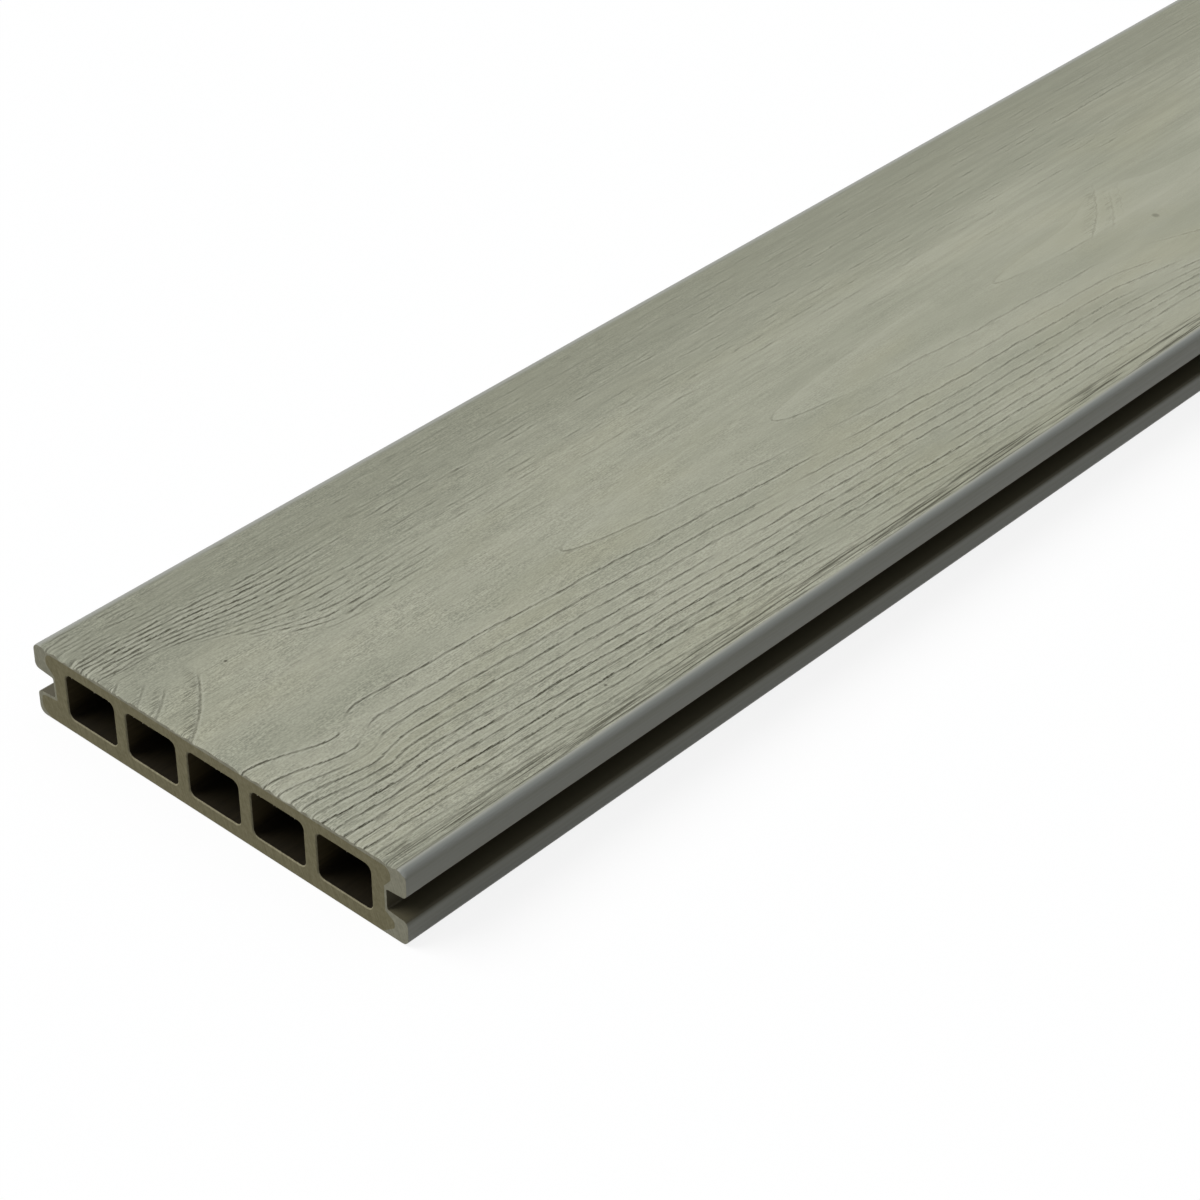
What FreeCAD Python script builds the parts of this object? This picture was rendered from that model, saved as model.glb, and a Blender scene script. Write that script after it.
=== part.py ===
"""Hollow wood-plastic decking board, in millimetres.

The board is one co-extrusion of two materials. A dark core carries a row of chambers, and a paler cap
covers the top, the lips at both sides and the clip grooves between them. The section lies in the XZ plane,
X across the board and Z up, and it runs along Y. The origin is under the middle of the board.
"""
import FreeCAD, Part
import math
import os
import re
from typing import NamedTuple

import Sketcher

SHEET = "Dimensions"

# Driving dimensions: millimetres, apart from the count of chambers and the ratios.
DIMENSIONS = {
    "board_length": 2200,
    "board_width": 138,
    "board_thickness": 23,
    # Walls that are left round the chambers, with the cap counted in the roof.
    "chamber_count": 5,
    "web_thickness": 4.6,
    "floor_thickness": 4.2,
    "roof_thickness": 4.6,
    "chamber_radius": 1.9,
    # Clip groove in each side: its back wall, and how far each of its sides opens towards the mouth.
    "groove_depth": 7.0,
    "groove_base_height": 8.0,
    "groove_back_height": 6.4,
    "groove_flare": 0.55,
    "groove_radius": 0.6,
    # Rounding of the board's outer edges.
    "top_radius": 2.4,
    "lip_radius": 1.6,
    "foot_radius": 2.2,
    # The cap over the top of the core and behind the grooves.
    "cap_thickness": 1.3,
    "groove_lining": 0.7,
    # Lobes of the core inside the lips: how much cap covers each one at the side.
    "left_upper_lobe_cover": 4.6,
    "left_lower_lobe_cover": 1.2,
    "left_foot_cover": 4.6,
    "right_upper_lobe_cover": 5.3,
    "right_lower_lobe_cover": 4.6,
    "right_foot_cover": 9.0,
    # Rounding of the lobes, at their upper edges and elsewhere.
    "upper_lobe_radius": 2.4,
    "lobe_radius": 1.8,
    # Where each lobe's outer face starts and ends, as a ratio of the height that its lip leaves it.
    "upper_lobe_base_ratio": 0.44,
    "left_lower_lobe_base_ratio": 0.27,
    "left_lower_lobe_top_ratio": 0.88,
    "right_lower_lobe_base_ratio": 0.44,
    "right_lower_lobe_top_ratio": 0.71,
}

# Sizes that follow from the driving ones.
HALF_WIDTH = "board_width / 2"
GROOVE_BACK = f"({HALF_WIDTH} - groove_depth)"
GROOVE_TOP = "(groove_base_height + groove_back_height)"
CORE_WALL = f"({GROOVE_BACK} - groove_lining)"
CORE_TOP = "(board_thickness - cap_thickness)"
CHAMBER_WIDTH = f"((2 * {CORE_WALL} - (chamber_count + 1) * web_thickness) / chamber_count)"
CHAMBER_PITCH = f"({CHAMBER_WIDTH} + web_thickness)"
CHAMBER_ROOF = "(board_thickness - roof_thickness)"
LOWER_LIP_TOP = "(groove_base_height - groove_flare)"
UPPER_LIP_BASE = f"({GROOVE_TOP} + groove_flare)"
UPPER_LIP = f"(board_thickness - {UPPER_LIP_BASE})"
NOTCH_BASE = "(groove_base_height - groove_lining)"
NOTCH_TOP = f"({GROOVE_TOP} + groove_lining)"
UPPER_LOBE_BASE = f"({NOTCH_TOP} + upper_lobe_base_ratio * ({CORE_TOP} - {NOTCH_TOP}))"
UPPER_LOBE_FACE = f"({CORE_TOP} - {UPPER_LOBE_BASE})"

SIDES = {"right": 1, "left": -1}


class Corner(NamedTuple):
    """One corner of an outline: its place in the section, and the radius that rounds it, if any."""

    name: str
    x: str
    z: str
    radius: str = ""


def formula(text):
    """Point each dimension's name in a formula at its cell in the sheet."""
    return re.sub(r"[a-z_]+", lambda word: f"{SHEET}.{word[0]}" if word[0] in DIMENSIONS else word[0], text)


def make_sheet(doc):
    """List the driving dimensions, one to a row, with its name as the cell's alias."""
    sheet = doc.addObject("Spreadsheet::Sheet", SHEET)
    for row, (name, value) in enumerate(DIMENSIONS.items(), start=1):
        sheet.set(f"A{row}", name)
        sheet.set(f"B{row}", str(value))
        sheet.setAlias(f"B{row}", name)
    doc.recompute()


def origin_feature(body, role):
    """One of the body's own origin planes or axes."""
    return next(feature for feature in body.Origin.OriginFeatures if feature.Role == role)


def dimension(sketch, name, text, constraint):
    """Add a named constraint whose size follows a formula."""
    index = sketch.addConstraint(constraint)
    sketch.renameConstraint(index, name)
    sketch.setExpression(f"Constraints.{name}", formula(text))


def rounding(before, corner, after, radius):
    """Arc that rounds a corner between two neighbours, with the ends in the order of travel."""
    towards = (before - corner).normalize()
    away = (after - corner).normalize()
    half_angle = towards.getAngle(away) / 2
    reach = radius / math.tan(half_angle)
    centre = corner + (towards + away).normalize() * (radius / math.sin(half_angle))
    ends = [corner + towards * reach, corner + away * reach]
    turns_left = (corner - before).cross(after - corner).z > 0
    first, last = ends if turns_left else reversed(ends)
    start = math.atan2(first.y - centre.y, first.x - centre.x)
    sweep = math.pi - 2 * half_angle
    circle = Part.Circle(centre, FreeCAD.Vector(0, 0, 1), radius)
    return Part.ArcOfCircle(circle, start, start + sweep), ends, turns_left


def draw_outline(sketch, corners):
    """Draw a closed outline anticlockwise through its corners, each fixed by formulas, as lines and arcs."""
    value = {text: float(sketch.evalExpression(formula(text)))
             for corner in corners for text in (corner.x, corner.z, corner.radius) if text}
    points = [FreeCAD.Vector(value[corner.x], value[corner.z], 0) for corner in corners]
    count = len(corners)
    arcs = {}
    ends = {}
    for i, corner in enumerate(corners):
        ends[i] = [points[i], points[i]]
        if corner.radius:
            arc, ends[i], turns_left = rounding(points[i - 1], points[i], points[(i + 1) % count],
                                                value[corner.radius])
            arcs[i] = (sketch.addGeometry(arc), (1, 2) if turns_left else (2, 1))
    sides = [sketch.addGeometry(Part.LineSegment(ends[i][1], ends[(i + 1) % count][0])) for i in range(count)]
    for i, corner in enumerate(corners):
        into, out_of = sides[i - 1], sides[i]
        if i in arcs:
            arc, (first, last) = arcs[i]
            mark, place = sketch.addGeometry(Part.Point(points[i]), True), 1
            sketch.addConstraint([Sketcher.Constraint("PointOnObject", mark, 1, into),
                                  Sketcher.Constraint("PointOnObject", mark, 1, out_of),
                                  Sketcher.Constraint("Tangent", into, 2, arc, first),
                                  Sketcher.Constraint("Tangent", arc, last, out_of, 1)])
            dimension(sketch, f"{corner.name}_radius", corner.radius,
                      Sketcher.Constraint("Radius", arc, value[corner.radius]))
        else:
            mark, place = out_of, 1
            sketch.addConstraint(Sketcher.Constraint("Coincident", into, 2, out_of, 1))
        dimension(sketch, f"{corner.name}_x", corner.x,
                  Sketcher.Constraint("DistanceX", -1, 1, mark, place, value[corner.x]))
        dimension(sketch, f"{corner.name}_z", corner.z,
                  Sketcher.Constraint("DistanceY", -1, 1, mark, place, value[corner.z]))


def both_sides(side_corners):
    """Close an outline from the corners of its right side, going up, and of its left side, going down."""
    return side_corners("right") + side_corners("left")[::-1]


def board_side(side):
    """Corners of the whole board on one side, from the underside up to the top face."""
    def corner(name, inset, z, radius):
        return Corner(f"{side}_{name}", f"{SIDES[side]} * ({HALF_WIDTH} - {inset})", z, radius)

    return [
        corner("foot", "0", "0", f"min(foot_radius; {LOWER_LIP_TOP} / 2)"),
        corner("lower_lip", "0", LOWER_LIP_TOP, f"min(lip_radius; {LOWER_LIP_TOP} / 2)"),
        corner("groove_base", "groove_depth", "groove_base_height", "groove_radius"),
        corner("groove_top", "groove_depth", GROOVE_TOP, "groove_radius"),
        corner("upper_lip", "0", UPPER_LIP_BASE, f"min(lip_radius; {UPPER_LIP} / 2)"),
        corner("top_edge", "0", "board_thickness", f"min(top_radius; {UPPER_LIP} / 2)"),
    ]


def core_side(side):
    """Corners of the core on one side, from the underside up to the cap over the top."""
    def corner(name, x, z, radius=""):
        return Corner(f"{side}_{name}", f"{SIDES[side]} * ({x})", z, radius)

    lower_lobe = f"{HALF_WIDTH} - {side}_lower_lobe_cover"
    lower_base = f"{LOWER_LIP_TOP} * {side}_lower_lobe_base_ratio"
    lower_top = f"{LOWER_LIP_TOP} * {side}_lower_lobe_top_ratio"
    lower_radius = f"min(lobe_radius; ({lower_top} - {lower_base}) / 2)"
    upper_lobe = f"{HALF_WIDTH} - {side}_upper_lobe_cover"
    return [
        corner("foot", f"{HALF_WIDTH} - {side}_foot_cover", "0"),
        corner("lower_lobe_base", lower_lobe, lower_base, lower_radius),
        corner("lower_lobe_top", lower_lobe, lower_top, lower_radius),
        corner("notch_base", CORE_WALL, NOTCH_BASE),
        corner("notch_top", CORE_WALL, NOTCH_TOP),
        corner("upper_lobe_base", upper_lobe, UPPER_LOBE_BASE, f"min(lobe_radius; {UPPER_LOBE_FACE} / 3)"),
        corner("upper_lobe_top", upper_lobe, CORE_TOP, f"min(upper_lobe_radius; {UPPER_LOBE_FACE} * 2 / 3)"),
    ]


def first_chamber():
    """Corners of the chamber at the left end of the row."""
    left = f"(web_thickness - {CORE_WALL})"
    right = f"({left} + {CHAMBER_WIDTH})"
    return [
        Corner("low_left", left, "floor_thickness", "chamber_radius"),
        Corner("low_right", right, "floor_thickness", "chamber_radius"),
        Corner("high_right", right, CHAMBER_ROOF, "chamber_radius"),
        Corner("high_left", left, CHAMBER_ROOF, "chamber_radius"),
    ]


def section_sketch(body, name, corners):
    """Sketch of an outline in the body's plane across the board, at the middle of its length."""
    sketch = body.newObject("Sketcher::SketchObject", name)
    sketch.AttachmentSupport = [(origin_feature(body, "XZ_Plane"), "")]
    sketch.MapMode = "FlatFace"
    draw_outline(sketch, corners)
    return sketch


def extrude(body, name, corners):
    """Solid with the outline's section along the whole board, half of it to each side of the sketch."""
    pad = body.newObject("PartDesign::Pad", name)
    pad.Profile = section_sketch(body, f"{name}_outline", corners)
    pad.SideType = "Symmetric"
    pad.setExpression("Length", formula("board_length"))
    return pad


def cut_through(body, name, corners):
    """Cut an outline out of the body from end to end."""
    pocket = body.newObject("PartDesign::Pocket", name)
    pocket.Profile = section_sketch(body, f"{name}_outline", corners)
    pocket.Type = "ThroughAll"
    pocket.SideType = "Symmetric"
    return pocket


def make_core(doc):
    """Dark body of the board, with its row of chambers."""
    body = doc.addObject("PartDesign::Body", "hollow_core")
    extrude(body, "core_extrusion", both_sides(core_side))
    chamber = cut_through(body, "chamber", first_chamber())
    row = body.newObject("PartDesign::LinearPattern", "chamber_row")
    row.Originals = [chamber]
    row.Direction = (origin_feature(body, "X_Axis"), [""])
    row.Mode = "Spacing"
    row.setExpression("Offset", formula(CHAMBER_PITCH))
    row.setExpression("Occurrences", formula("chamber_count"))
    body.Tip = row
    return body


def make_cap(doc):
    """Pale skin of the board: the whole section with the core taken out of it."""
    body = doc.addObject("PartDesign::Body", "cap_layer")
    extrude(body, "board_extrusion", both_sides(board_side))
    cut_through(body, "core_space", both_sides(core_side))
    return body


def section_area(body, feature):
    """Area of a feature's section, from its solid and the board's length."""
    return body.getObject(feature).Shape.Volume / DIMENSIONS["board_length"]


def check(doc, bodies):
    """Stop if anything failed to build, a solid is unsound, or the core and its space differ."""
    doc.recompute()
    failed = [item.Name for item in doc.Objects if {"Invalid", "Error"} & set(item.State)]
    unsound = [body.Label for body in bodies
               if body.Shape.isNull() or not body.Shape.isValid() or len(body.Shape.Solids) != 1]
    if failed or unsound:
        raise RuntimeError(f"failed: {failed}, unsound: {unsound}")
    core, cap = bodies
    solid_core = section_area(core, "core_extrusion")
    core_space = section_area(cap, "board_extrusion") - section_area(cap, "core_space")
    if not math.isclose(solid_core, core_space, rel_tol=1e-6):
        raise RuntimeError(f"the core's section is {solid_core} and the space for it {core_space}")
    if core.Shape.Volume >= core.getObject("chamber").Shape.Volume:
        raise RuntimeError("the row of chambers cut nothing")


def main():
    """Build both solids and write one file for each."""
    doc = FreeCAD.newDocument("decking_board")
    make_sheet(doc)
    bodies = [make_core(doc), make_cap(doc)]
    check(doc, bodies)
    os.makedirs("parts", exist_ok=True)
    for body in bodies:
        body.Shape.exportStep(os.path.join("parts", f"{body.Label}.step"))
        box = body.Shape.BoundBox
        print(f"{body.Label}: {body.Shape.Volume / 1e6:.3f} dm3, {box.XLength:.2f} x {box.YLength:.2f} x "
              f"{box.ZLength:.2f} mm")


main()
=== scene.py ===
"""Looks of a hollow composite decking board, built over its CAD frame.

The board lies flat along Y with its grained face up, and its near cut end is at the lowest Y.
Every length is in metres.
"""

import logging
import math
import random
from collections.abc import Callable, Iterable, Sequence
from dataclasses import dataclass, field
from enum import Enum, IntEnum

import bmesh
import bpy
import numpy as np
from mathutils import Euler, Matrix, Vector


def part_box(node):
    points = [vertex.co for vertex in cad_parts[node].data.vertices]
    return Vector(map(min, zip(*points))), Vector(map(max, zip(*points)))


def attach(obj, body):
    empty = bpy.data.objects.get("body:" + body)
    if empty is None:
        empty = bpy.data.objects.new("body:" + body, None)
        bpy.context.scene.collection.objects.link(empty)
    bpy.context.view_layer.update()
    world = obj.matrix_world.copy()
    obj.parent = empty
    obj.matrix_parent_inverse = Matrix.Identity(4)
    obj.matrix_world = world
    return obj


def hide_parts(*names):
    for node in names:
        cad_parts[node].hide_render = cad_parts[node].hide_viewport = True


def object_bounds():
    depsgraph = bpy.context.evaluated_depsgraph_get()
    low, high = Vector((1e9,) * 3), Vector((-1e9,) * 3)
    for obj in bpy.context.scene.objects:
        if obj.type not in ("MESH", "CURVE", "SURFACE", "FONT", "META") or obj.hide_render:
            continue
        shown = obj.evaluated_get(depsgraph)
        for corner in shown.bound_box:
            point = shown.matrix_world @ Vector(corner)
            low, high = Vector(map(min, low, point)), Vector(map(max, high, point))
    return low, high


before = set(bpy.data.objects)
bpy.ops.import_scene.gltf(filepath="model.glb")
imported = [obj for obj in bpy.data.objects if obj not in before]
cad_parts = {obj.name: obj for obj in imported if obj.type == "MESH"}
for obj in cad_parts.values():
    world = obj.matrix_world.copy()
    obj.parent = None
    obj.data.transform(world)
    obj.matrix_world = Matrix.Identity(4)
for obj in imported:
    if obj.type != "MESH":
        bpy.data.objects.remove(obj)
CAD_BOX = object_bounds()

MM = 0.001
TOLERANCE = 1e-6
LOG = logging.getLogger("decking_board")
# Faces whose normal has more than this along Y belong to a cut end.
END_FACING = 0.5
# Constants of the sine hash that scatters whole numbers.
HASH_STRIDE, HASH_TWIST, HASH_SPREAD = 12.9898, 78.233, 43758.5453

Socket = bpy.types.NodeSocket
Value = float | Sequence[float] | Socket
Colour = tuple[float, float, float, float]
Array = np.ndarray
Amount = float | Array
Limits = tuple[float, float]
WHITE: Colour = (1.0, 1.0, 1.0, 1.0)


def srgb(red: float, green: float, blue: float) -> Colour:
    """Turns a display colour into the linear colour that shaders take.

    Args:
        red: Red, from 0 to 255.
        green: Green, from 0 to 255.
        blue: Blue, from 0 to 255.

    Returns:
        The linear colour with a full alpha.
    """
    linear = [
        c / 12.92 if c <= 0.04045 else ((c + 0.055) / 1.055) ** 2.4
        for c in (red / 255, green / 255, blue / 255)
    ]
    return (linear[0], linear[1], linear[2], 1.0)


def smooth(value: Array, low: float, high: float) -> Array:
    """Rises smoothly from 0 at low to 1 at high.

    Args:
        value: What is mapped.
        low: Where the rise starts.
        high: Where the rise ends.

    Returns:
        The share of the rise, from 0 to 1.
    """
    share = np.clip((value - low) / (high - low), 0.0, 1.0)
    return share * share * (3.0 - 2.0 * share)


def scatter(index: Array, salt: int, limits: Limits = (0.0, 1.0)) -> Array:
    """Gives each whole number a steady number of its own.

    Args:
        index: The whole numbers.
        salt: Picks one of many such sets.
        limits: The least and the greatest number.

    Returns:
        Numbers between the limits.
    """
    share = np.modf(np.abs(np.sin(index * HASH_STRIDE + salt * HASH_TWIST)) * HASH_SPREAD)[0]
    return limits[0] + (limits[1] - limits[0]) * share


class Salt(IntEnum):
    """The set of steady numbers that a choice draws on; the beats take two."""

    BEAT = 1
    STRENGTH = 3
    NICK = 5
    NICK_PATCH = 6
    STREAK = 7
    CHIP = 8
    FEW = 9


class Side(Enum):
    """The two long sides of the board, as the sign of X."""

    LEFT = -1
    RIGHT = 1


class Surface(Enum):
    """Surfaces with a finish of their own, as the place of the finish on its piece."""

    SKIN = 0
    SAWN = 1
    HOLLOW = 2
    BURR = 3


@dataclass(frozen=True)
class Corner:
    """One corner of a drawn section, with the radius that rounds it."""

    x: float
    z: float
    radius: float = 0.0


@dataclass(frozen=True)
class Lobes:
    """How far the cap covers the core's lobes on one side, and where the lower lobe lies."""

    upper_cover: float
    lower_cover: float
    foot_cover: float
    lower_base: float
    lower_top: float


LOBES = {
    Side.LEFT: Lobes(4.6 * MM, 1.2 * MM, 4.6 * MM, 0.27, 0.88),
    Side.RIGHT: Lobes(5.3 * MM, 4.6 * MM, 9.0 * MM, 0.44, 0.71),
}


@dataclass(frozen=True)
class Section:
    """The board's cut section, as the CAD frame has it."""

    half_width: float
    thickness: float
    core_top: float
    groove_depth: float = 7.0 * MM
    groove_base: float = 8.0 * MM
    groove_back: float = 6.4 * MM
    groove_flare: float = 0.55 * MM
    groove_radius: float = 0.6 * MM
    groove_lining: float = 0.7 * MM
    top_radius: float = 2.4 * MM
    lip_radius: float = 1.6 * MM
    foot_radius: float = 2.2 * MM
    lobe_radius: float = 1.8 * MM
    lobe_rise: float = 0.44
    web: float = 4.6 * MM
    floor: float = 4.2 * MM
    roof: float = 18.4 * MM
    chamber_radius: float = 1.9 * MM
    chamber_count: int = 5

    @classmethod
    def from_frame(cls) -> "Section":
        """Reads the outer sizes from the frame's two nodes."""
        cap_high, core_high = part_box("cap_layer")[1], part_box("hollow_core")[1]
        return cls(cap_high.x, cap_high.z, core_high.z)

    @property
    def lip_top(self) -> float:
        """Height of the lower lip's outer edge."""
        return self.groove_base - self.groove_flare

    @property
    def core_wall(self) -> float:
        """Distance of the core's wall behind a groove from the middle."""
        return self.half_width - self.groove_depth - self.groove_lining

    @property
    def flat_half(self) -> float:
        """Half of the flat width of the grained face."""
        return self.half_width - self.top_radius

    def outer(self, side: Side) -> list[Corner]:
        """Lists one side of the board's outline, from its foot up.

        Args:
            side: The side to draw.

        Returns:
            The corners in order.
        """
        edge = side.value * self.half_width
        back = side.value * (self.half_width - self.groove_depth)
        groove_top = self.groove_base + self.groove_back
        return [
            Corner(edge, 0.0, self.foot_radius),
            Corner(edge, self.lip_top, self.lip_radius),
            Corner(back, self.groove_base, self.groove_radius),
            Corner(back, groove_top, self.groove_radius),
            Corner(edge, groove_top + self.groove_flare, self.lip_radius),
            Corner(edge, self.thickness, self.top_radius),
        ]

    def core(self, side: Side) -> list[Corner]:
        """Lists one side of the core's outline, from its foot up.

        Args:
            side: The side to draw.

        Returns:
            The corners in order.
        """
        lobes = LOBES[side]
        notch_base = self.groove_base - self.groove_lining
        notch_top = self.groove_base + self.groove_back + self.groove_lining
        lobe_base = notch_top + self.lobe_rise * (self.core_top - notch_top)
        low, high = lobes.lower_base * self.lip_top, lobes.lower_top * self.lip_top
        lower_radius = min(self.lobe_radius, (high - low) / 2)
        upper_x = side.value * (self.half_width - lobes.upper_cover)
        lower_x = side.value * (self.half_width - lobes.lower_cover)
        wall = side.value * self.core_wall
        return [
            Corner(side.value * (self.half_width - lobes.foot_cover), 0.0),
            Corner(lower_x, low, lower_radius),
            Corner(lower_x, high, lower_radius),
            Corner(wall, notch_base),
            Corner(wall, notch_top),
            Corner(upper_x, lobe_base, (self.core_top - lobe_base) / 3),
            Corner(upper_x, self.core_top, self.top_radius),
        ]

    def chambers(self) -> list[list[Corner]]:
        """Lists the outlines of the chambers from left to right.

        Returns:
            Four corners for each chamber.
        """
        clear = 2 * self.core_wall - (self.chamber_count + 1) * self.web
        width = clear / self.chamber_count
        outlines = []
        for number in range(self.chamber_count):
            left = -self.core_wall + self.web + number * (width + self.web)
            right = left + width
            spots = [(left, self.floor), (right, self.floor), (right, self.roof), (left, self.roof)]
            outlines.append([Corner(x, z, self.chamber_radius) for x, z in spots])
        return outlines


@dataclass(frozen=True)
class Knot:
    """A place where the grain swells round a knot and pushes its lines aside."""

    x: float
    along: float
    push: float
    reach_across: float
    reach_along: float
    lean: float = 1.0

    def shift(self, x: Array, along: Array) -> Array:
        """Finds how far a knot pushes the lines aside.

        Args:
            x: Distance from the middle of the board.
            along: Distance from the near cut end.

        Returns:
            The push towards +X at each place.
        """
        reach = self.reach_along * np.where(along > self.along, self.lean, 1.0)
        across = ((x - self.x) / self.reach_across) ** 2
        return self.push * np.exp(-across - ((along - self.along) / reach) ** 2)


KNOTS = (
    Knot(19 * MM, 25 * MM, 6.5 * MM, 16 * MM, 15 * MM, 0.5),
    Knot(38 * MM, 402 * MM, 10 * MM, 16 * MM, 40 * MM),
    Knot(-6 * MM, 388 * MM, -7 * MM, 9 * MM, 20 * MM),
    Knot(-36 * MM, 765 * MM, -12 * MM, 14 * MM, 52 * MM),
    Knot(21 * MM, 780 * MM, 6 * MM, 12 * MM, 16 * MM),
    Knot(36 * MM, 1150 * MM, 12 * MM, 14 * MM, 46 * MM),
    Knot(-34 * MM, 1545 * MM, -12 * MM, 14 * MM, 44 * MM),
    Knot(24 * MM, 1560 * MM, 6 * MM, 10 * MM, 14 * MM),
    Knot(33 * MM, 1930 * MM, 10 * MM, 14 * MM, 42 * MM),
)


@dataclass(frozen=True)
class Arc:
    """A slanted arc: where it starts, how far along the board it runs and how strong it is."""

    x: float
    along: float
    reach: float
    strength: float


@dataclass(frozen=True)
class Eye:
    """The calm eye of a knot and the arcs across it, listed from right to left."""

    x: float
    along: float
    half_width: float
    half_length: float
    slant: float
    bend: float
    arcs: tuple[Arc, ...]
    beyond: float = 20 * MM
    fade: float = 2.5 * MM
    overrun: float = 0.5 * MM

    def calm(self, x: Array, along: Array) -> Array:
        """Tells how far inside the eye each place is, from 0 to 1."""
        across = ((x - self.x) / self.half_width) ** 2
        return np.exp(-across - ((along - self.along) / self.half_length) ** 2)

    def number(self, x: Array, along: Array) -> Array:
        """Numbers the arcs from the first towards the left.

        Args:
            x: Distance from the middle of the board.
            along: Distance from the near cut end.

        Returns:
            The number at each place, whole on an arc.
        """
        longest = max(self.arcs, key=lambda arc: arc.reach)
        bowed = self.bend * np.sin(math.pi * (along - longest.along) / longest.reach)
        starts = [-arc.x - self.slant * arc.along for arc in self.arcs]
        places = [starts[0] - self.beyond, *starts, starts[-1] + self.beyond]
        return np.interp(bowed - x - self.slant * along, places, range(-1, len(starts) + 1))

    def mark(self, x: Array, along: Array) -> Array:
        """Tells how strongly the nearest arc is pressed in.

        Args:
            x: Distance from the middle of the board.
            along: Distance from the near cut end.

        Returns:
            The strength, from 0 to 1.
        """
        nearest = np.rint(self.number(x, along))
        strength = np.zeros_like(along)
        for number, arc in enumerate(self.arcs):
            run = along - arc.along
            kept = smooth(run, -self.fade, 0.0) * (1 - smooth(run - arc.reach, -self.fade, self.overrun))
            strength += np.where(nearest == number, arc.strength * kept, 0.0)
        return strength


EYES = (
    Eye(-25 * MM, 0.0, 15 * MM, 25 * MM, 1.0, 2.0 * MM, (
        Arc(-7.0 * MM, 0.0, 20.5 * MM, 0.5), Arc(-20.3 * MM, 0.0, 10.5 * MM, 0.36),
        Arc(-27.7 * MM, 0.0, 8.0 * MM, 0.3), Arc(-36.5 * MM, 0.0, 4.0 * MM, 0.5),
    )),
    Eye(9 * MM, 392 * MM, 14 * MM, 38 * MM, 0.7, 1.5 * MM, (
        Arc(5.0 * MM, 384 * MM, 12 * MM, 0.1), Arc(9.0 * MM, 374 * MM, 17 * MM, 0.16),
        Arc(9.5 * MM, 364 * MM, 25 * MM, 0.22),
    )),
)


@dataclass(frozen=True)
class Wave:
    """A slanted wave that sways the lines of grain a little."""

    length: float
    width: float
    height: float

    def sway(self, x: Array, along: Array) -> Array:
        """Finds how far the wave sways the lines at each place."""
        return self.height * np.sin(2 * math.pi * (along / self.length + x / self.width))


@dataclass(frozen=True)
class Figure:
    """What bends the grain on its way along the face: knots, a slow meander and slight waves."""

    knots: tuple[Knot, ...] = KNOTS
    eyes: tuple[Eye, ...] = EYES
    waves: tuple[Wave, ...] = (Wave(47 * MM, 31 * MM, 0.16 * MM), Wave(14 * MM, -8.3 * MM, 0.096 * MM))
    meander: float = 9.5 * MM
    meander_length: float = 1540 * MM
    meander_limits: Limits = (0.0, 40 * MM)
    vigour_length: float = 770 * MM

    def calm(self, x: Array, along: Array) -> Array:
        """Straightens X so that it stays the same along a line of grain.

        Args:
            x: Distance from the middle of the board.
            along: Distance from the near cut end.

        Returns:
            Where each place's line runs in calm grain.
        """
        turn = np.sin(2 * math.pi * along / self.meander_length)
        drift = self.meander * turn * smooth(x, *self.meander_limits)
        swayed = sum(wave.sway(x, along) for wave in self.waves)
        pushed = sum(knot.shift(x, along) for knot in self.knots)
        return x + swayed - drift - pushed

    def vigour(self, along: Array, least: float) -> Array:
        """Tells how crisply the grain is pressed, which comes and goes along the board."""
        return least + (1 - least) * (0.5 + 0.5 * np.cos(2 * math.pi * along / self.vigour_length))


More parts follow.
